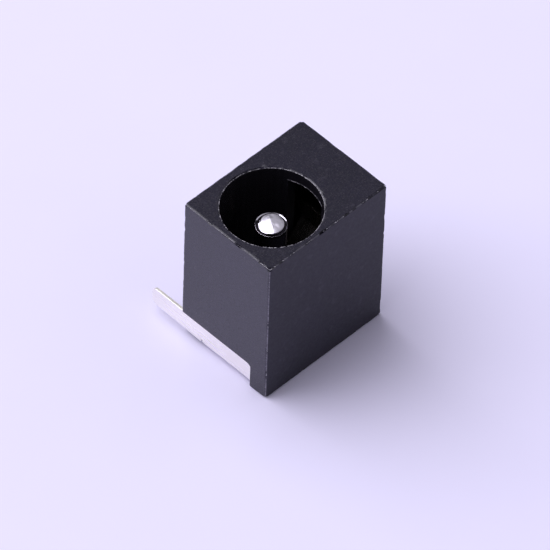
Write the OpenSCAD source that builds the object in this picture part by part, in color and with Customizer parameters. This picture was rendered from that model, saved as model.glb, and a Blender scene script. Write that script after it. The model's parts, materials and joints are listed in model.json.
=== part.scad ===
// Low-profile barrel power socket for a circuit board, standing on its rear face.
// It takes a 5.5 mm barrel plug with a 2.1 mm centre hole.
//
// Frame, in millimetres: +Z runs along the socket axis, out of the mouth.
// +Y points to the circuit board, so the solder tails leave the block that way.
// +X points from the socket to the chamber that holds the two spring contacts.
// The origin is on the socket axis, in the plane of the rear face.

/* [Housing] */
// Width of the block along the board, X
body_w = 10; // [9.8:0.1:12]
// Height of the block above the board, Y
body_h = 7.4; // [7.2:0.1:9]
// Height of the socket's axis above the board face
axis_h = 3.85; // [3.7:0.05:4.4]
// Length of the block from the rear face to the mouth, Z
body_l = 12; // [11.5:0.1:14]
// Radius of the four long edges
edge_r = 0.1; // [0.06:0.01:0.2]
// Chamfer around the mouth face and the rear face
edge_break = 0.06; // [0.03:0.01:0.15]
// Plastic between the mouth and the near side face
near_wall = 0.45; // [0.3:0.05:0.6]
// Plastic between the spring chamber and the far side face
far_wall = 0.45; // [0.3:0.05:0.6]
// Plastic between the spring chamber and the top face
chamber_wall = 0.65; // [0.6:0.05:1]
// Thickness of the rear wall that holds the centre pin
rear_wall = 2.6; // [2.4:0.1:3]

/* [Socket] */
// Diameter of the mouth
mouth_d = 6.4; // [6.3:0.05:6.6]
// Chamfer around the mouth
mouth_break = 0.06; // [0.04:0.01:0.15]
// Depth of the wall between the mouth face and the spring chamber
mouth_deep = 0.9; // [0.7:0.05:1.2]
// Moulding draft of the bore behind that wall, as a loss of diameter at its floor
bore_draft = 0.12; // [0.05:0.01:0.2]
// Width of the window between the bore and the spring chamber
window_w = 2.9; // [2.8:0.05:3.2]
// Height of the window's sill above the rear face
window_sill = 3; // [2.9:0.1:3.4]

/* [Centre pin] */
// Diameter of the contact pin
pin_d = 2; // [1.9:0.05:2.5]
// Depth of the pin's crown below the mouth
pin_recess = 1.4; // [1.2:0.1:3]
// Diameter of the crown at the pin's tip
crown_d = 1.58; // [1.4:0.02:1.6]
// Height of the crown above the pin's shoulder
crown_h = 0.2; // [0.15:0.01:0.3]
// Diameter of the shank that goes through the rear wall
shank_d = 1.5; // [1.2:0.05:1.6]
// Diameter over the splines that stop the pin from turning
spline_d = 1.8; // [1.75:0.05:1.85]
// Diameter of the upset rivet head
rivet_d = 2.6; // [2.2:0.1:3]
// Thickness of the rivet head
rivet_t = 0.2; // [0.15:0.01:0.22]

/* [Strip metal] */
// Thickness of the strip that all three terminals are pressed from
strip_t = 0.2; // [0.15:0.01:0.22]
// Width of the sleeve and shunt solder tails
tail_w = 1.6; // [1.2:0.1:2]
// Length of the solder tails past the board face
tail_l = 2.7; // [2:0.1:4]
// Radius of the corners at the end of the sleeve and shunt tails
tail_r = 0.35; // [0.1:0.05:0.5]

/* [Centre terminal] */
// Height of the side notch that the blade lies in
notch_h = 2.02; // [1.9:0.01:2.3]
// Radius of the notch's inner corner
notch_r = 0.3; // [0.1:0.05:0.5]
// Width of the foot left between the notch and the top face
foot_w = 1.38; // [1.2:0.01:1.8]
// How far the blade lies behind the near side face
blade_set = 0.1; // [0.06:0.01:0.2]
// Height of the blade's lower edge above the rear face where its tail begins
blade_low = 0.42; // [0.3:0.01:0.6]
// Rise of that edge along the tail
blade_taper = 0.15; // [0:0.01:0.3]
// Radius of the corners at the end of the blade
blade_r = 0.42; // [0.2:0.01:0.5]
// Gap between the rear face and the terminal's flange
flange_up = 0.25; // [0.23:0.01:0.3]

/* [Spring contacts] */
// Width of the sleeve contact's spring arm
arm_w = 2.4; // [2:0.1:2.6]
// Distance from the socket axis to the arm's contact crest
crest_reach = 2.45; // [2.3:0.05:2.6]
// Distance from the top of the spring chamber down to the upper ends of both contacts
contact_drop = 2.6; // [2.2:0.1:3]
// Height of the ear at the end of the spring arm
ear_h = 1; // [0.8:0.05:1.2]
// Height of the lower edge of the sleeve contact's tail
sleeve_tail_z = 5.4; // [5:0.1:6]
// Height of the lower edge of the shunt contact's tail
shunt_tail_z = 3.4; // [3:0.1:3.6]
// Depth of the grooves that hold the edges of both contacts
groove_deep = 0.3; // [0.2:0.01:0.35]
// Width of the grooves
groove_w = 0.3; // [0.28:0.01:0.36]

/* [Hidden] */

$fn = 64;
fit = 0.02;          // clearance on a located face
slide = 0.05;        // clearance on a sliding edge
cut = 1;             // how far a cutter runs past an open face
bend_r = 0.2;        // centreline radius of a folded corner
bend_step = 12;      // degrees of bend for each facet

// Planes of the block
x_near = -near_wall - mouth_d / 2;
x_far = x_near + body_w;
y_board = axis_h;
y_top = axis_h - body_h;

// Spring chamber
chamber_top = body_l - mouth_deep;
chamber_x0 = mouth_d / 2 + 0.3;               // face of the partition beside the window
chamber_x1 = x_far - far_wall;
chamber_y = -y_top - chamber_wall;            // half height of the chamber
groove_y = chamber_y + groove_deep;           // half height across the grooves
plate_y = groove_y - slide;                   // half height of a contact plate

// Contact plates: their centre planes, rear ends and upper ends
shunt_x = chamber_x0 + groove_w / 2;
sleeve_x = chamber_x1 - groove_w / 2;
plate_foot = 0.6;
contact_top = chamber_top - contact_drop;
tail_tip = y_board + tail_l;

// Dimple on the shunt contact that stops the sleeve contact's arm
dimple_h = 0.12;
dimple_y = 2.2;
dimple_z = contact_top - 0.6;
dimple_top = shunt_x + groove_w / 2 + dimple_h;
rest_x = dimple_top + fit + strip_t / 2;      // centre plane of the arm's end at rest

// Spring arm: it turns in just above the window's sill, comes back just below its ear, and the crest is midway
ear_z = contact_top - ear_h;
arm_low = window_sill + 0.2;
arm_high = ear_z - 0.3;
crest_z = (arm_low + arm_high) / 2;

// Centre terminal
blade_x = x_near + blade_set + strip_t / 2;   // centre plane of the blade
notch_x = blade_x + strip_t / 2 + fit;        // bottom of the side notch
notch_y = y_top + foot_w;                     // inner end of the notch
blade_y = notch_y + slide;                    // inner end of the blade
blade_top = notch_h - slide;
flange_top = flange_up + strip_t;
recess_h = flange_top + fit;
fold_z = flange_top + bend_r;                 // where the blade's fold begins

// ---- Shapes used by several parts ----

function unit(v) = v / norm(v);
function left_of(v) = [-v[1], v[0]];
function turned(v, a) = [v[0] * cos(a) - v[1] * sin(a), v[0] * sin(a) + v[1] * cos(a)];

// Points of an arc of radius r about c, from angle a0 to a1
function arc(c, r, a0, a1, steps = 8) =
    [for (i = [0:steps]) c + r * [cos(a0 + (a1 - a0) * i / steps), sin(a0 + (a1 - a0) * i / steps)]];

// One rounded corner of a strip's centreline: a list of [point, left normal]
function bend(a, b, c, r) =
    let (u = unit(b - a), w = unit(c - b), side = sign(cross(u, w)), angle = acos(u * w),
         start = b - u * r * tan(angle / 2), centre = start + side * r * left_of(u),
         steps = max(2, ceil(angle / bend_step)))
    [for (i = [0:steps])
        let (left = turned(left_of(u), side * angle * i / steps)) [centre - side * r * left, left]];

// Outline of a strip whose centreline runs through points, with a radius at each inner one
function strip(points, radii) =
    let (last = len(points) - 1,
         first_left = left_of(unit(points[1] - points[0])),
         last_left = left_of(unit(points[last] - points[last - 1])),
         line = concat([[points[0], first_left]],
                       [for (i = [1:last - 1]) each bend(points[i - 1], points[i], points[i + 1], radii[i - 1])],
                       [[points[last], last_left]]))
    concat([for (s = line) s[0] + s[1] * strip_t / 2],
           [for (i = [len(line) - 1:-1:0]) line[i][0] - line[i][1] * strip_t / 2]);

// Extrudes an outline drawn in X and Z along Y, from y0 to y1
module along_y(y0, y1) {
    translate([0, y1, 0])
        rotate([90, 0, 0])
            linear_extrude(y1 - y0)
                children();
}

// Extrudes an outline drawn in Y and Z along X, from x0 to x1
module along_x(x0, x1) {
    translate([x0, 0, 0])
        rotate([90, 0, 90])
            linear_extrude(x1 - x0)
                children();
}

// Gives an outline drawn in Y and Z the strip's thickness, centred on plane x
module plate(x) {
    along_x(x - strip_t / 2, x + strip_t / 2)
        children();
}

// Box from one corner to the opposite one
module span(low, high) {
    translate(low)
        cube(high - low);
}

// Solder tail in Y and Z, from y0 to the tip, with its corners rounded
module tail_outline(y0, z0) {
    translate([y0, z0]) {
        square([tail_tip - y0 - tail_r, tail_w]);
        translate([0, tail_r])
            square([tail_tip - y0, tail_w - 2 * tail_r]);
        for (z = [tail_r, tail_w - tail_r])
            translate([tail_tip - y0 - tail_r, z])
                circle(tail_r);
    }
}

// Pair of one-way barbs on the edges of a contact plate, biting against a pull to the rear
module barbs(z) {
    barb_h = 0.5;
    root = plate_y - 0.1;
    crest = groove_y - fit;
    for (side = [-1, 1])
        polygon([[side * root, z], [side * crest, z], [side * root, z + barb_h]]);
}

// ---- Housing: one moulding ----

// Block seen along Z, with rounded corners
module block_outline() {
    inner = [body_w - 2 * edge_r, body_h - 2 * edge_r];
    translate([x_near + edge_r, y_top])
        square([inner[0], body_h]);
    translate([x_near, y_top + edge_r])
        square([body_w, inner[1]]);
    for (x = [0, 1], y = [0, 1])
        translate([x_near + edge_r + x * inner[0], y_top + edge_r + y * inner[1]])
            circle(edge_r);
}

// Block seen from a side that runs from a to b, with its corners broken
module block_side(a, b) {
    polygon([[a + edge_break, 0], [b - edge_break, 0], [b, edge_break], [b, body_l - edge_break],
             [b - edge_break, body_l], [a + edge_break, body_l], [a, body_l - edge_break], [a, edge_break]]);
}

module block() {
    intersection() {
        linear_extrude(body_l)
            block_outline();
        along_y(y_top, y_board)
            block_side(x_near, x_far);
        along_x(x_near, x_far)
            block_side(y_top, y_board);
    }
}

// Mouth with its chamfer, then the drafted bore down to the socket floor
module socket_cut() {
    translate([0, 0, body_l - mouth_break])
        cylinder(d1 = mouth_d, d2 = mouth_d + 2 * (mouth_break + cut), h = mouth_break + cut);
    translate([0, 0, chamber_top])
        cylinder(d = mouth_d, h = mouth_deep);
    translate([0, 0, rear_wall])
        cylinder(d1 = mouth_d - bore_draft, d2 = mouth_d, h = chamber_top - rear_wall);
}

// Chamber open to the rear, grooved for the two contact plates, with a window into the bore
module chamber_cut() {
    span([chamber_x0, -chamber_y, -cut], [chamber_x1, chamber_y, chamber_top]);
    for (x = [shunt_x, sleeve_x])
        span([x - groove_w / 2, -groove_y, -cut], [x + groove_w / 2, groove_y, chamber_top]);
    span([0, -window_w / 2, window_sill], [chamber_x0 + cut, window_w / 2, chamber_top]);
}

// Slots through the board side, open to the rear, that the tails slide up
module tail_slots() {
    for (s = [[shunt_x, shunt_tail_z], [sleeve_x, sleeve_tail_z]])
        span([s[0] - groove_w / 2, 0, -cut], [s[0] + groove_w / 2, y_board + cut, s[1] + tail_w + slide]);
}

// Side notch in Y and Z, with a round inner corner and an eased foot
module notch_outline() {
    ease = 0.12;
    polygon(concat(
        [[notch_y - ease - cut, -cut], [notch_y - ease, 0], [notch_y, ease]],
        arc([notch_y + notch_r, notch_h - notch_r], notch_r, 180, 90),
        [[y_board + cut, notch_h], [y_board + cut, -cut]]));
}

// Notch for the centre terminal's blade, and the recess for its flange, with the corner eased for the fold
module terminal_cut() {
    along_x(x_near - cut, notch_x)
        notch_outline();
    along_y(notch_y, -notch_y)
        polygon([[x_near - cut, -cut], [0, -cut], [0, recess_h], [notch_x + bend_r, recess_h],
                 [notch_x, recess_h + bend_r], [x_near - cut, recess_h + bend_r]]);
    translate([0, 0, -cut])
        cylinder(r = -notch_y, h = recess_h + cut);
}

module housing() {
    color("#2b2a31")
        difference() {
            block();
            socket_cut();
            chamber_cut();
            tail_slots();
            terminal_cut();
            translate([0, 0, -cut])
                cylinder(d = spline_d + 2 * fit, h = rear_wall + 2 * cut);
        }
}

// ---- Centre pin: turned, splined and riveted at the rear ----

module centre_pin() {
    r = pin_d / 2;
    crown_r = crown_d / 2;
    tip = body_l - pin_recess;
    lip = tip - crown_h;              // top of the shoulder's lip
    lip_r = 0.02;                     // rounding of the lip
    ring_deep = 0.08;                 // depth of the V groove turned between the lip and the crown
    ring_r = (r + crown_r) / 2 - 0.02;
    dome = 0.1;                       // rise of the crown
    spline_n = 16;
    spline_t = 0.12;
    spline_end = 0.25;                // plain stretch at each end of the splines
    color("#d9d6cf") {
        rotate_extrude()
            polygon(concat(
                [[0, flange_up], [shank_d / 2, flange_up], [shank_d / 2, rear_wall], [r, rear_wall]],
                arc([r - lip_r, lip - lip_r], lip_r, 0, 90, 4),
                [[ring_r, lip - ring_deep], [crown_r, lip]],
                [for (a = [0:15:90]) [crown_r * cos(a), tip - dome + dome * sin(a)]]));
        for (i = [0:spline_n - 1])
            rotate(i * 360 / spline_n)
                span([shank_d / 2 - 0.1, -spline_t / 2, recess_h + spline_end],
                     [spline_d / 2, spline_t / 2, rear_wall - spline_end]);
        rivet_head();
    }
}

// Rivet head, upset over the terminal's flange
module rivet_head() {
    r = rivet_d / 2;
    rotate_extrude()
        polygon([[0, flange_up], [0, flange_up - rivet_t], [r - 0.25, flange_up - rivet_t],
                 [r - 0.06, flange_up - rivet_t / 2], [r, flange_up]]);
}

// ---- Centre terminal: a blade in the side notch, folded to a flange under the rear wall ----

// Blade in Y and Z: above the fold inside the notch, then a tail that tapers to a rounded end
module blade_outline() {
    relief = 0.12;                    // slot that ends the fold
    tail_y = -blade_y + relief;
    end_low = blade_low + blade_taper;
    inner_r = notch_r - slide;
    polygon(concat(
        [[tail_y, blade_low], [tail_y, fold_z], [blade_y, fold_z]],
        arc([blade_y + inner_r, blade_top - inner_r], inner_r, 180, 90, 6),
        arc([tail_tip - blade_r, blade_top - blade_r], blade_r, 90, 0, 6),
        arc([tail_tip - blade_r, end_low + blade_r], blade_r, 0, -90, 6)));
}

module centre_terminal() {
    flange_z = flange_up + strip_t / 2;
    bent = blade_x + 2 * bend_r;      // where the fold has become flat
    color("#e4e1e0")
        difference() {
            union() {
                plate(blade_x)
                    blade_outline();
                along_y(blade_y, -blade_y)
                    polygon(strip([[blade_x, fold_z + bend_r], [blade_x, flange_z], [bent, flange_z]], [bend_r]));
                translate([0, 0, flange_up])
                    linear_extrude(strip_t) {
                        translate([bent - bend_r, blade_y])
                            square([bend_r - bent, -2 * blade_y]);
                        circle(-blade_y);
                    }
            }
            cylinder(d = shank_d + 2 * fit, h = fold_z);
        }
}

// ---- Sleeve contact: a fixed plate, folded back at the rear into a spring arm with a crest ----

module sleeve_contact() {
    fold_end = 1.5;                                // upper end of the fold at the rear
    plate_top = sleeve_tail_z + tail_w + 0.4;
    arm_x = rest_x + 0.5;                          // arm where it leaves the fold
    crest_x = crest_reach + strip_t / 2;
    fold_r = (sleeve_x - arm_x) / 2;
    fold_low = fold_end - fold_r;
    crest_r = 0.7;
    sharp = 0.15;                                  // the crest's arc falls this short of its corner
    path = [[sleeve_x, fold_end + 1], [sleeve_x, fold_low], [arm_x, fold_low], [arm_x, fold_end],
            [rest_x, arm_low], [crest_x - sharp, crest_z], [rest_x, arm_high],
            [rest_x, contact_top]];
    color("#cfc9bf") {
        plate(sleeve_x) {
            translate([-plate_y, fold_end])
                square([2 * plate_y, plate_top - fold_end]);
            barbs(fold_end + 0.4);
            barbs(fold_end + 2);
            tail_outline(0, sleeve_tail_z);
        }
        along_y(-arm_w / 2, arm_w / 2)
            polygon(strip(path, [fold_r - 0.01, fold_r - 0.01, 0.5, 1, crest_r, 0.6]));
        // ear that reaches over the shunt contact's dimple
        plate(rest_x)
            translate([0, ear_z])
                square([dimple_y + 0.5, contact_top - ear_z]);
    }
}

// ---- Shunt contact: a fixed plate whose dimple the sleeve contact's ear rests on ----

module shunt_contact() {
    base_top = window_sill - slide;
    riser_y = window_w / 2 + 0.2;
    dimple_r = 0.5;                   // radius at the root
    dimple_tip = 0.25;                // radius at the top
    press_r = dimple_r - 0.1;         // radius of the hollow pressed from behind
    face = shunt_x - strip_t / 2;
    color("#cfc9bf")
        difference() {
            union() {
                plate(shunt_x) {
                    translate([-plate_y, plate_foot])
                        square([2 * plate_y, base_top - plate_foot]);
                    barbs(plate_foot + 0.5);
                    translate([riser_y, plate_foot])
                        square([plate_y - riser_y, contact_top - plate_foot]);
                    tail_outline(riser_y, shunt_tail_z);
                }
                translate([shunt_x, dimple_y, dimple_z])
                    rotate([0, 90, 0])
                        cylinder(r1 = dimple_r, r2 = dimple_tip, h = dimple_top - shunt_x);
            }
            translate([face - fit, dimple_y, dimple_z])
                rotate([0, 90, 0])
                    cylinder(r1 = press_r, r2 = dimple_tip - 0.1, h = strip_t);
        }
}

housing();
centre_pin();
centre_terminal();
sleeve_contact();
shunt_contact();
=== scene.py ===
import json
import math

import bmesh
import bpy
from mathutils import Matrix, Vector, noise


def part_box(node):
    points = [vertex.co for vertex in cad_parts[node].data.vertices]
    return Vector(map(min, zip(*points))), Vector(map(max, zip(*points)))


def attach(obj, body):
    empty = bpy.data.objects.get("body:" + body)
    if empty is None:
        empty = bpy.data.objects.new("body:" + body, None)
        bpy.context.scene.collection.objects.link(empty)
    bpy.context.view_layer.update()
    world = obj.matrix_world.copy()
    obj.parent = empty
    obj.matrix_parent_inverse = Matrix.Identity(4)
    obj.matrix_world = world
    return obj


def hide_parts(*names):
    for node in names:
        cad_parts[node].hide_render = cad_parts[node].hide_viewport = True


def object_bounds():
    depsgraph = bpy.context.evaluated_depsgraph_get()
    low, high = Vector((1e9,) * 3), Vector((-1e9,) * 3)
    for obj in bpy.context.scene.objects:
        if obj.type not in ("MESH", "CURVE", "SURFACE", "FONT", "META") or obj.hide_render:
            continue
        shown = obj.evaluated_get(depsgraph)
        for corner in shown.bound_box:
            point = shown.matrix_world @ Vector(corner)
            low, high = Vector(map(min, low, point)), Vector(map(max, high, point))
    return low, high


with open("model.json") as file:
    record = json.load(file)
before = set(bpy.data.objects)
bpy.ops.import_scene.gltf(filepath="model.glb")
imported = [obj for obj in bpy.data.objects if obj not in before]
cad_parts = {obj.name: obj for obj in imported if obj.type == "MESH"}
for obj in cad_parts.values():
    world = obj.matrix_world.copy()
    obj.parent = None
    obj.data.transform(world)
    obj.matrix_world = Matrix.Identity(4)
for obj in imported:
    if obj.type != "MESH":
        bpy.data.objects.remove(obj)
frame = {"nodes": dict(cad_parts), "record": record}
cad_low, cad_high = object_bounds()

# ---- Housing ----
# One injection moulding in charcoal PBT: the block with its round mouth, polished bore and spring chamber.
# The cavity is spark-eroded, so the outside is finely matt. The parting edges are trimmed, a little ragged.

MM = 0.001
block_low, block_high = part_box("housing")
mount_sizes = {m["name"]: m["dims"] for m in frame["record"]["mounts"]}
mouth_r = mount_sizes["barrel_mouth"]["r_mm"] * MM
bore_floor_r = 3.14 * MM
bore_floor_z = 2.6 * MM
bore_play = 0.013 * MM        # how far a facet's corner may lie off the true bore
collar_z = 11.1 * MM          # lower edge of the collar over the spring window
window_half = 1.5 * MM
grid_step = 0.2 * MM          # spacing of the rows of points that let the edges run unevenly
edge_zone = 0.11 * MM         # how far in from an edge its unevenness reaches
wave_length = 0.9 * MM        # slow waves in an edge
nick_length = 0.4 * MM        # short nicks in it
each_way = 0.7                # share of a nick's depth that comes off each of the edge's two faces
upright_wear = 0.25           # the four edges along the socket are worn less than the others
corner_zone = 0.2 * MM        # how far from the tip of a corner it is blunted
corner_cut = 0.1 * MM
pale_line_offset = 0.03 * MM         # distance from the moulded corner to the middle of the pale edge line, part scuff and part painted highlight
rim_round = 0.04 * MM         # worn corner between the mouth face and the rim's chamfer
rim_zone = 0.08 * MM          # how far out from the bore the rim's unevenness reaches
rim_sink = 0.3                # share of a nick's depth that lowers the rim
rim_spread = 0.5              # share of it that widens the rim
polished_r = mouth_r + 0.02 * MM
heel_x = -3.2 * MM            # the foot of the wall beside the blade's tail stands back, clear of the blade
heel_y = 1.9 * MM
heel_z = 0.3 * MM
heel_back = 0.12 * MM
matt_band = 0.07 * MM         # the polish of the bore ends this far below the mouth face
weld = 0.002 * MM


def linear(hex_code):
    """sRGB hex to linear RGBA."""
    parts = [int(hex_code[i:i + 2], 16) / 255 for i in (1, 3, 5)]
    return tuple(c / 12.92 if c <= 0.04045 else ((c + 0.055) / 1.055) ** 2.4 for c in parts) + (1.0,)


def add_node(tree, kind, inputs=None, **settings):
    """Adds a node. Among its inputs, a socket is linked and anything else is set."""
    made = tree.nodes.new(kind)
    for name, value in settings.items():
        setattr(made, name, value)
    for key, value in (inputs or {}).items():
        if isinstance(value, bpy.types.NodeSocket):
            tree.links.new(value, made.inputs[key])
        else:
            made.inputs[key].default_value = value
    return made


def new_material(name):
    """A material with only its output node, and its tree."""
    made = bpy.data.materials.new(name)
    made.use_nodes = True
    made.node_tree.nodes.clear()
    return made, made.node_tree


def per_metre(size_mm):
    """Texture scale for a pattern whose features are size_mm apart."""
    return 1000 / size_mm


def smooth_object(name, bm, angle=30):
    """Closes a bmesh into an object at the origin, smooth except at corners sharper than angle."""
    mesh = bpy.data.meshes.new(name)
    bm.to_mesh(mesh)
    bm.free()
    mesh.shade_smooth()
    mesh.set_sharp_from_angle(angle=math.radians(angle))
    made = bpy.data.objects.new(name, mesh)
    bpy.context.scene.collection.objects.link(made)
    return made


def merged_solid(node):
    """A CAD node's shape as one closed bmesh with its flat areas whole."""
    bm = bmesh.new()
    bm.from_mesh(frame["nodes"][node].data)
    bmesh.ops.remove_doubles(bm, verts=bm.verts[:], dist=weld)
    bmesh.ops.dissolve_limit(bm, angle_limit=math.radians(0.3), verts=bm.verts[:], edges=bm.edges[:])
    return bm


def bore_radius(z):
    """Radius of the socket at a height: straight in the collar, drafted below it."""
    if z >= collar_z:
        return mouth_r
    down = (collar_z - z) / (collar_z - bore_floor_z)
    return mouth_r + (bore_floor_r - mouth_r) * down


def nearest_faces(co):
    """The block's faces nearest to a point, as (distance, axis, inward direction), nearest first."""
    sides = []
    for axis in range(3):
        low_gap = co[axis] - block_low[axis]
        high_gap = block_high[axis] - co[axis]
        sides.append((low_gap, axis, 1) if low_gap < high_gap else (high_gap, axis, -1))
    return sorted(sides)


def ragged(along, lane):
    """How deep an edge is nicked at a point along it. Each edge has its own lane of the noise."""
    wave = noise.noise(Vector((along / wave_length, lane * 7.3, 0.5)))
    nick = noise.noise(Vector((along / nick_length, lane * 3.1, 9.5)))
    return (0.01 + 0.08 * max(0, wave) + 0.45 * max(0, nick - 0.12)) * MM


housing_mesh = merged_solid("housing")
rim_edges = [e for e in housing_mesh.edges
             if all(v.co.z > block_high.z - weld and v.co.xy.length < mouth_r + edge_zone for v in e.verts)]
bmesh.ops.bevel(housing_mesh, geom=rim_edges, offset=rim_round, segments=1, affect="EDGES")
for axis in range(3):
    normal = Vector([1.0 if i == axis else 0.0 for i in range(3)])
    length = block_high[axis] - block_low[axis]
    steps = [edge_zone] + [i * grid_step for i in range(1, int(length / grid_step))] + [length - edge_zone]
    for step in steps:
        at = normal * (block_low[axis] + step)
        everything = housing_mesh.verts[:] + housing_mesh.edges[:] + housing_mesh.faces[:]
        bmesh.ops.bisect_plane(housing_mesh, geom=everything, dist=weld / 20, plane_co=at, plane_no=normal)

for v in housing_mesh.verts:
    radius = math.hypot(v.co.x, v.co.y)
    if v.co.z > bore_floor_z - weld and abs(radius - bore_radius(v.co.z)) < bore_play:
        v.co.xy *= bore_radius(v.co.z) / radius
    (gap_1, axis_1, way_1), (gap_2, axis_2, way_2), (gap_3, axis_3, way_3) = nearest_faces(v.co)
    if gap_2 < edge_zone:
        along = v.co[3 - axis_1 - axis_2]
        pair = sorted(((axis_1, way_1), (axis_2, way_2)))
        lane = sum((4 * a + w) * 5 ** i for i, (a, w) in enumerate(pair))
        depth = ragged(along, lane) * (1 - (gap_2 / edge_zone) ** 3)
        if axis_1 + axis_2 == 1:
            depth *= upright_wear
        v.co[axis_1] += way_1 * depth * each_way
        v.co[axis_2] += way_2 * depth * each_way
        if gap_3 < corner_zone:
            blunt = corner_cut * (1 - gap_3 / corner_zone)
            ways = sorted(((axis_1, way_1), (axis_2, way_2), (axis_3, way_3)))
            v.co += Vector([blunt * way for _, way in ways])
    elif block_high.z - v.co.z < edge_zone and mouth_r - weld < radius < mouth_r + rim_zone:
        nick = ragged(math.atan2(v.co.y, v.co.x) * mouth_r, 91)
        v.co.z -= nick * rim_sink
        v.co.xy *= 1 + nick * rim_spread / radius
    if v.co.z < heel_z and v.co.y > heel_y and v.co.x < heel_x:
        v.co.x += heel_back
housing = smooth_object("moulded_housing", housing_mesh, angle=14)

# Distance in millimetres from the nearest trimmed edge, for the materials' pale line: partly scuffing, partly
# a painted highlight, and at the collar's edge a painted glint
edge_gap = housing.data.attributes.new("edge_gap", "FLOAT", "POINT")
for v in housing.data.vertices:
    (gap_1, _, _), (gap_2, _, _), _ = nearest_faces(v.co)
    radius = math.hypot(v.co.x, v.co.y)
    rim_gap = math.hypot(radius - mouth_r - pale_line_offset, block_high.z - v.co.z)
    gaps = [math.hypot(gap_1, gap_2) - pale_line_offset, rim_gap]
    # The collar's lower edge over the spring window gets the pale line as a painted glint
    if v.co.x > 0 and abs(v.co.y) < window_half:
        gaps.append(math.hypot(radius - mouth_r, v.co.z - collar_z))
    edge_gap.data[v.index].value = max(0.0, min(gaps)) / MM

# Charcoal PBT moulded against a spark-eroded steel face: nearly black, with a soft sheen that a fine grain
# breaks up, faint cloudy flow marks, smudges of dust, rare pinholes painted as dark spots of shade, and a
# thin broken pale line along the trimmed edges, partly scuffing and partly a painted highlight. The side away
# from the board is eroded more coarsely, so it is duller.
matt_pbt, tree = new_material("matt_charcoal_pbt")
place = add_node(tree, "ShaderNodeTexCoord").outputs["Object"]
flow = add_node(tree, "ShaderNodeTexNoise", {"Vector": place, "Scale": per_metre(2.5), "Detail": 3.0})
grain = add_node(tree, "ShaderNodeTexNoise", {"Vector": place, "Scale": per_metre(0.14), "Detail": 4.0})
plastic = add_node(tree, "ShaderNodeMix", {
    "Factor": flow.outputs[0], 6: linear("#12101f"), 7: linear("#1a172a")}, data_type="RGBA")
speckle = add_node(tree, "ShaderNodeMix", {
    "Factor": 0.25, 6: plastic.outputs[2], 7: grain.outputs[1]}, data_type="RGBA", blend_type="OVERLAY")
smudge = add_node(tree, "ShaderNodeTexNoise", {"Vector": place, "Scale": per_metre(0.6), "Detail": 5.0})
dusty = add_node(tree, "ShaderNodeMapRange", {
    "Value": smudge.outputs[0], "From Min": 0.58, "From Max": 0.75, "To Min": 0.0, "To Max": 0.25})
dusted = add_node(tree, "ShaderNodeMix", {
    "Factor": dusty.outputs[0], 6: speckle.outputs[2], 7: linear("#4b4854")}, data_type="RGBA")
pores = add_node(tree, "ShaderNodeTexVoronoi", {"Vector": place, "Scale": per_metre(1.3)})
pore_pick = add_node(tree, "ShaderNodeSeparateColor", {"Color": pores.outputs["Color"]})
pore_rare = add_node(tree, "ShaderNodeMath", {0: pore_pick.outputs[0], 1: 0.95}, operation="GREATER_THAN")
pore_near = add_node(tree, "ShaderNodeMath", {
    0: pores.outputs["Distance"], 1: 0.045}, operation="LESS_THAN")
pore = add_node(tree, "ShaderNodeMath", {
    0: pore_rare.outputs[0], 1: pore_near.outputs[0]}, operation="MULTIPLY")
# Pinholes painted as dark spots: painted shade standing in for holes the mesh does not have
pinhole_shade = add_node(tree, "ShaderNodeMix", {
    "Factor": pore.outputs[0], 6: dusted.outputs[2], 7: linear("#0a090b")}, data_type="RGBA")
gap = add_node(tree, "ShaderNodeAttribute", attribute_name="edge_gap")
crumble = add_node(tree, "ShaderNodeTexNoise", {
    "Vector": place, "Scale": per_metre(0.28), "Detail": 6.0, "Roughness": 0.75})
line = add_node(tree, "ShaderNodeMapRange", {
    "Value": gap.outputs["Fac"], "From Min": 0.01, "From Max": 0.05, "To Min": 1.0, "To Max": 0.0})
patchy = add_node(tree, "ShaderNodeMapRange", {
    "Value": crumble.outputs[0], "From Min": 0.36, "From Max": 0.7, "To Min": 0.12, "To Max": 0.9})
scuff_and_highlight = add_node(tree, "ShaderNodeMath", {
    0: line.outputs[0], 1: patchy.outputs[0]}, operation="MULTIPLY")
# Pale edge line: partly scuffing of the trimmed edges, partly a painted highlight
worn_and_highlit = add_node(tree, "ShaderNodeMix", {
    "Factor": scuff_and_highlight.outputs[0], 6: pinhole_shade.outputs[2], 7: linear("#aaa6b4")}, data_type="RGBA")
sheen = add_node(tree, "ShaderNodeMapRange", {
    "Value": grain.outputs[0], "From Min": 0.3, "From Max": 0.7, "To Min": 0.2, "To Max": 0.3})
facing = add_node(tree, "ShaderNodeNewGeometry").outputs["True Normal"]
to_board = add_node(tree, "ShaderNodeSeparateXYZ", {0: facing}).outputs["Y"]
coarser = add_node(tree, "ShaderNodeMapRange", {
    "Value": to_board, "From Min": -0.6, "From Max": -0.9, "To Min": 0.0, "To Max": 0.38})
dull = add_node(tree, "ShaderNodeMath", {0: sheen.outputs[0], 1: coarser.outputs[0]}, operation="ADD")
relief = add_node(tree, "ShaderNodeBump", {
    "Strength": 0.18, "Distance": 0.01 * MM, "Height": grain.outputs[0]})
skin = add_node(tree, "ShaderNodeBsdfPrincipled", {
    "Base Color": worn_and_highlit.outputs[2], "Roughness": dull.outputs[0], "IOR": 1.53, "Normal": relief.outputs[0]})
add_node(tree, "ShaderNodeOutputMaterial", {"Surface": skin.outputs[0]})
housing.data.materials.append(matt_pbt)

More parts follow.
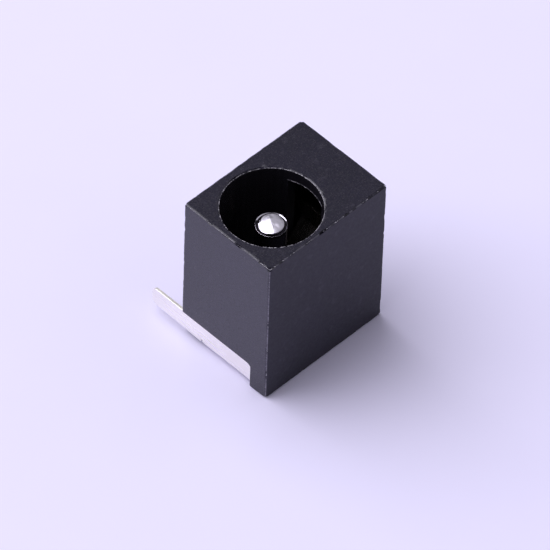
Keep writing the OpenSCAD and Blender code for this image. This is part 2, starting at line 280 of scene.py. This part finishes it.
# The same plastic against the polished core pin of the mould: black and glossy, with fine draw marks
# left along the axis as the core pulls out.
bore_pbt, tree = new_material("polished_bore_pbt")
place = add_node(tree, "ShaderNodeTexCoord").outputs["Object"]
stretched = add_node(tree, "ShaderNodeMapping", {"Vector": place, "Scale": (1.0, 1.0, 0.04)})
draw = add_node(tree, "ShaderNodeTexNoise", {
    "Vector": stretched.outputs[0], "Scale": per_metre(0.2), "Detail": 3.0})
tone = add_node(tree, "ShaderNodeMix", {
    "Factor": draw.outputs[0], 6: linear("#17161c"), 7: linear("#211f26")}, data_type="RGBA")
gap = add_node(tree, "ShaderNodeAttribute", attribute_name="edge_gap")
crumble = add_node(tree, "ShaderNodeTexNoise", {"Vector": place, "Scale": per_metre(0.35), "Detail": 4.0})
line = add_node(tree, "ShaderNodeMapRange", {
    "Value": gap.outputs["Fac"], "From Min": 0.01, "From Max": 0.08, "To Min": 1.0, "To Max": 0.0})
patchy = add_node(tree, "ShaderNodeMapRange", {
    "Value": crumble.outputs[0], "From Min": 0.35, "From Max": 0.65, "To Min": 0.1, "To Max": 0.8})
scuff_and_highlight = add_node(tree, "ShaderNodeMath", {
    0: line.outputs[0], 1: patchy.outputs[0]}, operation="MULTIPLY")
# Pale line at the mouth's rim: partly scuffing, partly a painted highlight; at the collar's edge over the
# window it is a painted glint
worn_and_highlit = add_node(tree, "ShaderNodeMix", {
    "Factor": scuff_and_highlight.outputs[0], 6: tone.outputs[2], 7: linear("#a29eaa")}, data_type="RGBA")
sheen = add_node(tree, "ShaderNodeMapRange", {
    "Value": draw.outputs[0], "From Min": 0.3, "From Max": 0.7, "To Min": 0.1, "To Max": 0.24})
relief = add_node(tree, "ShaderNodeBump", {
    "Strength": 0.15, "Distance": 0.005 * MM, "Height": draw.outputs[0]})
skin = add_node(tree, "ShaderNodeBsdfPrincipled", {
    "Base Color": worn_and_highlit.outputs[2], "Roughness": sheen.outputs[0], "IOR": 1.5, "Normal": relief.outputs[0]})
add_node(tree, "ShaderNodeOutputMaterial", {"Surface": skin.outputs[0]})
housing.data.materials.append(bore_pbt)

# The polish covers the bore's wall and the collar. Every other face of the moulding is matt.
for face in housing.data.polygons:
    centre = face.center
    if centre.z > block_high.z - matt_band or centre.z < bore_floor_z - weld:
        continue
    if math.hypot(centre.x, centre.y) < polished_r:
        face.material_index = 1
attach(housing, "root")
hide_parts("housing")

# ---- Torn flash ----
# Crumbs of the same plastic left where the mould's parting edges were trimmed and tumbled. Torn PBT turns
# pale, so they show as fine light specks along the edges; their pale tone also paints the edges' highlights,
# and a glint along the collar's edge. They are part of the moulding.

flash_spacing = 0.07 * MM     # a crumb may stand at every such step of an edge
flash_inset = 0.05 * MM
crumb_length = 0.16 * MM
crumb_thickness = 0.05 * MM
notch_top = 2.1 * MM          # the edge by the board starts above the blade's notch
rim_r = mouth_r + 0.02 * MM
rim_points = 180
collar_span = 27              # half of the collar's torn arc, in degrees
collar_step = 3

flash_mesh = bmesh.new()
torn = flash_mesh.verts.layers.float.new("torn")


def flash_path(points, first, last, closed=False):
    """Adds an edge to carry flash. The share of it that still holds crumbs runs from first to last."""
    row = [flash_mesh.verts.new(p) for p in points]
    for i, v in enumerate(row):
        v[torn] = first + (last - first) * i / (len(row) - 1)
    for a, b in zip(row, row[1:] + (row[:1] if closed else [])):
        flash_mesh.edges.new((a, b))


# The four edges of the mouth face, then the four along the socket, the mouth's rim and the collar's edge
flash_low = block_low + Vector((flash_inset, flash_inset, 0))
flash_high = block_high - Vector((flash_inset, flash_inset, flash_inset))
near_top, far_top = (flash_low.x, flash_low.y), (flash_high.x, flash_low.y)
near_board, far_board = (flash_low.x, flash_high.y), (flash_high.x, flash_high.y)
# The shares are highest on the edges by the near corner, on the rim and at the collar's edge, where the
# crumbs paint highlights
for a, b, first, last in ((near_board, near_top, 0.45, 0.65), (near_top, far_top, 0.4, 0.02),
                          (far_top, far_board, 0.1, 0.1), (far_board, near_board, 0.1, 0.2)):
    flash_path([(*a, flash_high.z), (*b, flash_high.z)], first, last)
foot = flash_low.z + 0.1 * MM
for corner, start, share in ((near_top, foot, 0.35), (far_top, foot, 0.15),
                             (near_board, notch_top, 0.1), (far_board, foot, 0.1)):
    flash_path([(*corner, start), (*corner, flash_high.z)], share, share)
rim_turn = [2 * math.pi * i / rim_points for i in range(rim_points)]
rim_path = [(rim_r * math.cos(a), rim_r * math.sin(a), flash_high.z) for a in rim_turn]
flash_path(rim_path, 0.75, 0.75, closed=True)
# Crumbs along the collar's edge inside the bore paint a glint there
collar_turn = [math.radians(a) for a in range(-collar_span, collar_span + 1, collar_step)]
collar_path = [(mouth_r * math.cos(a), mouth_r * math.sin(a), collar_z) for a in collar_turn]
flash_path(collar_path, 0.6, 0.6)
flash = smooth_object("torn_flash", flash_mesh)

# Torn PBT: dull and whitened, in patches from grey to almost white; the pale tone partly paints highlights
torn_pbt_and_highlight, tree = new_material("torn_pale_pbt_and_highlight")
place = add_node(tree, "ShaderNodeTexCoord").outputs["Object"]
patch = add_node(tree, "ShaderNodeTexNoise", {"Vector": place, "Scale": per_metre(0.25), "Detail": 3.0})
contrast = add_node(tree, "ShaderNodeMapRange", {
    "Value": patch.outputs[0], "From Min": 0.36, "From Max": 0.6, "To Min": 0.0, "To Max": 1.0})
tone = add_node(tree, "ShaderNodeMix", {
    "Factor": contrast.outputs[0], 6: linear("#4a4852"), 7: linear("#d6d2dc")}, data_type="RGBA")
skin = add_node(tree, "ShaderNodeBsdfPrincipled", {
    "Base Color": tone.outputs[2], "Roughness": 0.7, "IOR": 1.57})
add_node(tree, "ShaderNodeOutputMaterial", {"Surface": skin.outputs[0]})

# Geometry Nodes: a small lump at a random share of the steps along each path, each of its own size and lean
crumbs = bpy.data.node_groups.new("flash_crumbs", "GeometryNodeTree")
socket_kinds = (("Geometry", "Geometry"), ("Spacing", "Float"), ("Longest", "Float"), ("Thickest", "Float"),
                ("Seed", "Int"), ("Plastic", "Material"))
crumb_inputs = {}
for name, kind in socket_kinds:
    made = crumbs.interface.new_socket(name=name, in_out="INPUT", socket_type="NodeSocket" + kind)
    crumb_inputs[name] = made.identifier
crumbs.interface.new_socket(name="Geometry", in_out="OUTPUT", socket_type="NodeSocketGeometry")
given = add_node(crumbs, "NodeGroupInput").outputs
path = add_node(crumbs, "GeometryNodeMeshToCurve", {0: given["Geometry"]})
stops = add_node(crumbs, "GeometryNodeCurveToPoints", {
    "Curve": path.outputs[0], "Length": given["Spacing"]}, mode="LENGTH")
share = add_node(crumbs, "GeometryNodeInputNamedAttribute", {"Name": "torn"}, data_type="FLOAT")
chance = add_node(crumbs, "FunctionNodeRandomValue", {"Seed": given["Seed"]}, data_type="FLOAT")
kept = add_node(crumbs, "FunctionNodeCompare", {
    0: chance.outputs[1], 1: share.outputs[0]}, data_type="FLOAT", operation="LESS_THAN")
size_seed = add_node(crumbs, "ShaderNodeMath", {0: given["Seed"], 1: 17.0}, operation="ADD")
lean_seed = add_node(crumbs, "ShaderNodeMath", {0: given["Seed"], 1: 31.0}, operation="ADD")
size = add_node(crumbs, "FunctionNodeRandomValue", {
    0: (0.45, 0.3, 0.3), 1: (1.0, 1.0, 1.0), "Seed": size_seed.outputs[0]}, data_type="FLOAT_VECTOR")
limits = add_node(crumbs, "ShaderNodeCombineXYZ", {
    "X": given["Thickest"], "Y": given["Thickest"], "Z": given["Longest"]})
scale = add_node(crumbs, "ShaderNodeVectorMath", {
    0: size.outputs[0], 1: limits.outputs[0]}, operation="MULTIPLY")
crumb = add_node(crumbs, "GeometryNodeMeshIcoSphere", {"Radius": 0.5, "Subdivisions": 1})
lean = add_node(crumbs, "FunctionNodeRandomValue", {
    0: (-0.3, -0.3, -3.0), 1: (0.3, 0.3, 3.0), "Seed": lean_seed.outputs[0]}, data_type="FLOAT_VECTOR")
lean_turn = add_node(crumbs, "FunctionNodeEulerToRotation", {0: lean.outputs[0]})
turn = add_node(crumbs, "FunctionNodeRotateRotation", {
    0: stops.outputs["Rotation"], 1: lean_turn.outputs[0]}, rotation_space="LOCAL")
placed = add_node(crumbs, "GeometryNodeInstanceOnPoints", {
    "Points": stops.outputs["Points"], "Selection": kept.outputs[0], "Instance": crumb.outputs["Mesh"],
    "Rotation": turn.outputs[0], "Scale": scale.outputs[0]})
solid = add_node(crumbs, "GeometryNodeRealizeInstances", {0: placed.outputs[0]})
coated = add_node(crumbs, "GeometryNodeSetMaterial", {
    "Geometry": solid.outputs[0], "Material": given["Plastic"]})
add_node(crumbs, "NodeGroupOutput", {0: coated.outputs[0]})


def grown(thing, group, values):
    """Runs a node group on an object and keeps the result as its plain mesh."""
    grow = thing.modifiers.new(group.name, "NODES")
    grow.node_group = group
    for identifier, value in values.items():
        grow[identifier] = value
    ready = thing.evaluated_get(bpy.context.evaluated_depsgraph_get())
    thing.data = bpy.data.meshes.new_from_object(ready)
    thing.modifiers.clear()


grown(flash, crumbs, {
    crumb_inputs["Spacing"]: flash_spacing, crumb_inputs["Longest"]: crumb_length,
    crumb_inputs["Thickest"]: crumb_thickness, crumb_inputs["Seed"]: 4, crumb_inputs["Plastic"]: torn_pbt_and_highlight})
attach(flash, "root")

# ---- Centre pin ----
# A turned brass pin, nickel plated, pressed through the rear wall and riveted over the terminal's flange.
# Its crown stands inside a ring groove, and is slightly uneven where the bar was parted off and tumbled.

pin_low, pin_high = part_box("centre_pin")
pin_r = mount_sizes["centre_contact"]["r_mm"] * MM
shank_r = 0.75 * MM
rivet_r = 1.3 * MM
rivet_z = pin_low.z + 0.2 * MM
rivet_waist_z = pin_low.z + 0.1 * MM
rivet_flat_r = rivet_r - 0.25 * MM
rivet_waist_r = rivet_r - 0.06 * MM
lip_z = pin_high.z - 0.2 * MM
lip_r = 0.008 * MM            # rounding of the lip's outer edge
lip_steps = 8
lip_slope = 0.055 * MM        # fall of the lip towards the groove
groove_r = 0.925 * MM         # outer wall of the ring groove round the crown
groove_deep = 0.1 * MM
crown_r = 0.79 * MM
dome_h = 0.085 * MM
dome_r = (crown_r ** 2 + dome_h ** 2) / (2 * dome_h)
dome_steps = 32
crown_lean = 0.2              # slope of the crown's worn side
lump_h = 0.02 * MM
lump_size = 0.55 * MM
fine_lump_size = 0.25 * MM
turn_steps = 128


def lathe(profile, steps):
    """Turns a profile of (radius, height) points about Z into a closed bmesh."""
    bm = bmesh.new()
    rings = []
    for radius, height in profile:
        if radius < weld:
            rings.append([bm.verts.new((0, 0, height))])
            continue
        turn = [2 * math.pi * i / steps for i in range(steps)]
        rings.append([bm.verts.new((radius * math.cos(a), radius * math.sin(a), height)) for a in turn])
    for low, high in zip(rings, rings[1:]):
        for i in range(steps):
            j = (i + 1) % steps
            corners = [low[i % len(low)], low[j % len(low)], high[j % len(high)], high[i % len(high)]]
            bm.faces.new(list(dict.fromkeys(corners)))
    bmesh.ops.recalc_face_normals(bm, faces=bm.faces[:])
    return bm


# From the foot up: rivet head, shank, contact stretch, rounded lip, ring groove and crown
profile = [(0, pin_low.z), (rivet_flat_r, pin_low.z), (rivet_waist_r, rivet_waist_z),
           (rivet_r, rivet_z), (shank_r, rivet_z), (shank_r, bore_floor_z), (pin_r, bore_floor_z)]
for i in range(lip_steps + 1):
    a = math.radians(90 * i / lip_steps)
    profile.append((pin_r - lip_r + lip_r * math.cos(a), lip_z - lip_r + lip_r * math.sin(a)))
profile += [(groove_r, lip_z - lip_slope), (groove_r, lip_z - groove_deep), (crown_r, lip_z - groove_deep)]
for i in range(dome_steps + 1):
    radius = crown_r * (1 - i / dome_steps)
    profile.append((radius, pin_high.z - dome_r + math.sqrt(dome_r ** 2 - radius ** 2)))
pin_mesh = lathe(profile, turn_steps)
for v in pin_mesh.verts:
    if v.co.z > lip_z + 0.01 * MM:
        lump = noise.noise(v.co / lump_size) + 0.5 * noise.noise(v.co / fine_lump_size)
        unworn = 0.84 * v.co.x - 0.54 * v.co.y
        v.co.z -= lump_h * (lump + 0.7) + crown_lean * max(0, -unworn)
pin = smooth_object("turned_pin", pin_mesh, angle=20)

# Bright nickel: fine turning rings, a bright lip, a satin crown hazed by tumbling, and painted shade: a dark
# ring groove and a dark band on the shank just below the lip
nickel, tree = new_material("bright_nickel_plate")
place = add_node(tree, "ShaderNodeTexCoord").outputs["Object"]
ringed = add_node(tree, "ShaderNodeMapping", {"Vector": place, "Scale": (0.05, 0.05, 1.0)})
turning = add_node(tree, "ShaderNodeTexNoise", {
    "Vector": ringed.outputs[0], "Scale": per_metre(0.08), "Detail": 2.0})
haze = add_node(tree, "ShaderNodeTexNoise", {"Vector": place, "Scale": per_metre(0.5), "Detail": 4.0})
plate = add_node(tree, "ShaderNodeMix", {
    "Factor": haze.outputs[0], 6: linear("#d2cedb"), 7: linear("#ebe8f1")}, data_type="RGBA")
satin = add_node(tree, "ShaderNodeMapRange", {
    "Value": haze.outputs[0], "From Min": 0.3, "From Max": 0.7, "To Min": 0.3, "To Max": 0.42})
height = add_node(tree, "ShaderNodeSeparateXYZ", {0: place}).outputs["Z"]
gloss = add_node(tree, "ShaderNodeMapRange", {
    "Value": height, "From Min": lip_z, "From Max": lip_z + 0.02 * MM,
    "To Min": 0.08, "To Max": satin.outputs[0]})
above_groove = add_node(tree, "ShaderNodeMapRange", {
    "Value": height, "From Min": lip_z - 0.06 * MM, "From Max": lip_z - 0.03 * MM})
below_groove = add_node(tree, "ShaderNodeMapRange", {
    "Value": height, "From Min": lip_z - 0.3 * MM, "From Max": lip_z - 0.1 * MM,
    "To Min": 1.0, "To Max": 0.0})
unshaded_plate = add_node(tree, "ShaderNodeMath", {
    0: above_groove.outputs[0], 1: below_groove.outputs[0]}, operation="MAXIMUM")
# Painted shade: the groove and the top of the shank below the lip get a dark colour in place of the plate
tone = add_node(tree, "ShaderNodeMix", {
    "Factor": unshaded_plate.outputs[0], 6: linear("#3a373e"), 7: plate.outputs[2]}, data_type="RGBA")
relief = add_node(tree, "ShaderNodeBump", {
    "Strength": 0.1, "Distance": 0.004 * MM, "Height": turning.outputs[0]})
skin = add_node(tree, "ShaderNodeBsdfPrincipled", {
    "Base Color": tone.outputs[2], "Metallic": 1.0,
    "Roughness": gloss.outputs[0], "Normal": relief.outputs[0]})
add_node(tree, "ShaderNodeOutputMaterial", {"Surface": skin.outputs[0]})
pin.data.materials.append(nickel)
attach(pin, "root")
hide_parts("centre_pin")

# ---- Centre terminal ----
# A blade blanked from 0.2 mm brass strip, tin plated, and folded to a flange that the pin's rivet head
# holds. It lies in the side notch, and its end past the board face is the solder tail.


def pressed_piece(node, name):
    """A CAD node's shape as a pressed strip part, with its blanked corners slightly rolled over."""
    made = smooth_object(name, merged_solid(node))
    roll = made.modifiers.new("rolled_corners", "BEVEL")
    roll.width = 0.02 * MM
    roll.segments = 2
    roll.limit_method = "ANGLE"
    roll.angle_limit = math.radians(50)
    return made


terminal = pressed_piece("centre_terminal", "tinned_blade")
# Matt tin: white, satin, with faint streaks along the blade from rolling and a soft cloudy bloom
tin, tree = new_material("matt_tin_plate")
place = add_node(tree, "ShaderNodeTexCoord").outputs["Object"]
drawn = add_node(tree, "ShaderNodeMapping", {"Vector": place, "Scale": (1.0, 0.06, 1.0)})
streak = add_node(tree, "ShaderNodeTexNoise", {
    "Vector": drawn.outputs[0], "Scale": per_metre(0.12), "Detail": 3.0})
bloom = add_node(tree, "ShaderNodeTexNoise", {"Vector": place, "Scale": per_metre(0.9), "Detail": 4.0})
tone = add_node(tree, "ShaderNodeMix", {
    "Factor": bloom.outputs[0], 6: linear("#faf7ee"), 7: linear("#fffdf6")}, data_type="RGBA")
gloss = add_node(tree, "ShaderNodeMapRange", {
    "Value": streak.outputs[0], "From Min": 0.3, "From Max": 0.7, "To Min": 0.25, "To Max": 0.33})
relief = add_node(tree, "ShaderNodeBump", {
    "Strength": 0.06, "Distance": 0.004 * MM, "Height": streak.outputs[0]})
skin = add_node(tree, "ShaderNodeBsdfPrincipled", {
    "Base Color": tone.outputs[2], "Metallic": 1.0,
    "Roughness": gloss.outputs[0], "Normal": relief.outputs[0]})
add_node(tree, "ShaderNodeOutputMaterial", {"Surface": skin.outputs[0]})
terminal.data.materials.append(tin)
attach(terminal, "root")
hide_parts("centre_terminal")

# ---- Spring contacts ----
# Two parts blanked and formed from phosphor bronze strip: the sleeve contact, folded back into a spring
# arm, and the shunt contact that the arm rests on. Barbs hold both in the chamber's grooves.

# Bright rolled strip with streaks along its grain. Past the board face the tails are dipped in tin, and matt.
spring_tin, tree = new_material("tin_on_phosphor_bronze")
place = add_node(tree, "ShaderNodeTexCoord").outputs["Object"]
drawn = add_node(tree, "ShaderNodeMapping", {"Vector": place, "Scale": (1.0, 1.0, 0.06)})
streak = add_node(tree, "ShaderNodeTexNoise", {
    "Vector": drawn.outputs[0], "Scale": per_metre(0.15), "Detail": 3.0})
bloom = add_node(tree, "ShaderNodeTexNoise", {"Vector": place, "Scale": per_metre(1.2), "Detail": 4.0})
bronze = add_node(tree, "ShaderNodeMix", {
    "Factor": bloom.outputs[0], 6: linear("#a9a39c"), 7: linear("#c2bcb6")}, data_type="RGBA")
plated = add_node(tree, "ShaderNodeMix", {
    "Factor": bloom.outputs[0], 6: linear("#e6e2e6"), 7: linear("#f4f1f2")}, data_type="RGBA")
outward = add_node(tree, "ShaderNodeSeparateXYZ", {0: place}).outputs["Y"]
dipped = add_node(tree, "ShaderNodeMapRange", {
    "Value": outward, "From Min": block_high.y - 0.3 * MM, "From Max": block_high.y + 0.1 * MM})
tone = add_node(tree, "ShaderNodeMix", {
    "Factor": dipped.outputs[0], 6: bronze.outputs[2], 7: plated.outputs[2]}, data_type="RGBA")
smooth = add_node(tree, "ShaderNodeMapRange", {
    "Value": streak.outputs[0], "From Min": 0.3, "From Max": 0.7, "To Min": 0.14, "To Max": 0.22})
matt = add_node(tree, "ShaderNodeMath", {0: smooth.outputs[0], 1: 0.2}, operation="ADD")
gloss = add_node(tree, "ShaderNodeMix", {
    "Factor": dipped.outputs[0], 2: smooth.outputs[0], 3: matt.outputs[0]}, data_type="FLOAT")
relief = add_node(tree, "ShaderNodeBump", {
    "Strength": 0.12, "Distance": 0.004 * MM, "Height": streak.outputs[0]})
skin = add_node(tree, "ShaderNodeBsdfPrincipled", {
    "Base Color": tone.outputs[2], "Metallic": 1.0,
    "Roughness": gloss.outputs[0], "Normal": relief.outputs[0]})
add_node(tree, "ShaderNodeOutputMaterial", {"Surface": skin.outputs[0]})
for node, name in (("sleeve_contact", "sleeve_leaf"), ("shunt_contact", "shunt_plate")):
    contact = pressed_piece(node, name)
    contact.data.materials.append(spring_tin)
    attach(contact, "root")
    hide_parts(node)

# ---- Floor, light and camera ----
# A pale lilac-white card, one broad soft lamp high at the back left, and a soft surround.
# The camera stands well off with a long lens, so parallel edges stay almost parallel.

floor_half = 1.5
floor_drop = 0.0005 * MM      # just clear of the rear face
floor_mesh = bmesh.new()
bmesh.ops.create_grid(floor_mesh, x_segments=1, y_segments=1, size=floor_half)
bmesh.ops.translate(floor_mesh, verts=floor_mesh.verts[:], vec=(0, 0, cad_low.z - floor_drop))
table_top = smooth_object("table_top", floor_mesh)
paper, tree = new_material("pale_lilac_card")
place = add_node(tree, "ShaderNodeTexCoord").outputs["Object"]
fibre = add_node(tree, "ShaderNodeTexNoise", {"Vector": place, "Scale": per_metre(6), "Detail": 2.0})
tone = add_node(tree, "ShaderNodeMix", {
    "Factor": fibre.outputs[0], 6: linear("#e8e4fd"), 7: linear("#eae6ff")}, data_type="RGBA")
skin = add_node(tree, "ShaderNodeBsdfPrincipled", {
    "Base Color": tone.outputs[2], "Roughness": 0.8, "Specular IOR Level": 0.1})
add_node(tree, "ShaderNodeOutputMaterial", {"Surface": skin.outputs[0]})
table_top.data.materials.append(paper)

# The surround is brightest to the left and right, middling behind, and dim on the side of the camera
world = bpy.data.worlds.new("soft_surround")
bpy.context.scene.world = world
world.use_nodes = True
world.node_tree.nodes.clear()
heading = add_node(world.node_tree, "ShaderNodeTexCoord").outputs["Generated"]
across = add_node(world.node_tree, "ShaderNodeVectorMath", {
    0: heading, 1: (0.69, -0.72, 0.0)}, operation="DOT_PRODUCT")
sideways = add_node(world.node_tree, "ShaderNodeMath", {0: across.outputs["Value"]}, operation="ABSOLUTE")
behind = add_node(world.node_tree, "ShaderNodeVectorMath", {
    0: heading, 1: (0.22, 0.21, 0.0)}, operation="DOT_PRODUCT")
reach = add_node(world.node_tree, "ShaderNodeMath", {0: sideways.outputs[0], 1: behind.outputs["Value"]})
glow = add_node(world.node_tree, "ShaderNodeMapRange", {
    "Value": reach.outputs[0], "From Min": -0.2, "From Max": 0.8, "To Min": 0.03, "To Max": 0.6})
surround = add_node(world.node_tree, "ShaderNodeBackground", {
    "Color": linear("#f2f0fa"), "Strength": glow.outputs[0]})
add_node(world.node_tree, "ShaderNodeOutputWorld", {"Surface": surround.outputs[0]})


def aim(thing, place, target):
    """Stands a lamp or camera at a place and points it at a target."""
    thing.location = place
    thing.rotation_euler = (Vector(target) - Vector(place)).to_track_quat("-Z", "Y").to_euler()


lamp = bpy.data.lights.new("soft_box", "AREA")
lamp.shape = "RECTANGLE"
lamp.size = 1.0
lamp.size_y = 1.0
lamp.energy = 8.85
lamp.color = linear("#f8f6ff")[:3]
soft_box = bpy.data.objects.new("soft_box", lamp)
bpy.context.scene.collection.objects.link(soft_box)
aim(soft_box, (-0.22, 0.42, 0.66), (0, 0, 0))

view_azimuth = math.radians(46.106)
view_elevation = math.radians(49.101)
view_roll = math.radians(2.065)
view_distance = 595.45 * MM
view_target = Vector((0.478, -0.017, 5.355)) * MM
lens = bpy.data.cameras.new("long_lens")
lens.sensor_width = 36
lens.lens = 636.9
lens.clip_start = 0.01
lens.clip_end = 10
camera = bpy.data.objects.new("camera", lens)
bpy.context.scene.collection.objects.link(camera)
forward = Vector((math.sin(view_azimuth) * math.cos(view_elevation),
                  math.cos(view_azimuth) * math.cos(view_elevation), -math.sin(view_elevation)))
level_right = Vector((math.cos(view_azimuth), -math.sin(view_azimuth), 0))
level_up = level_right.cross(forward)
right = level_right * math.cos(view_roll) + level_up * math.sin(view_roll)
up = level_up * math.cos(view_roll) - level_right * math.sin(view_roll)
turned = Matrix((right, up, -forward)).transposed().to_4x4()
camera.matrix_world = Matrix.Translation(view_target - forward * view_distance) @ turned
bpy.context.scene.camera = camera
bpy.context.scene.view_settings.view_transform = "Standard"
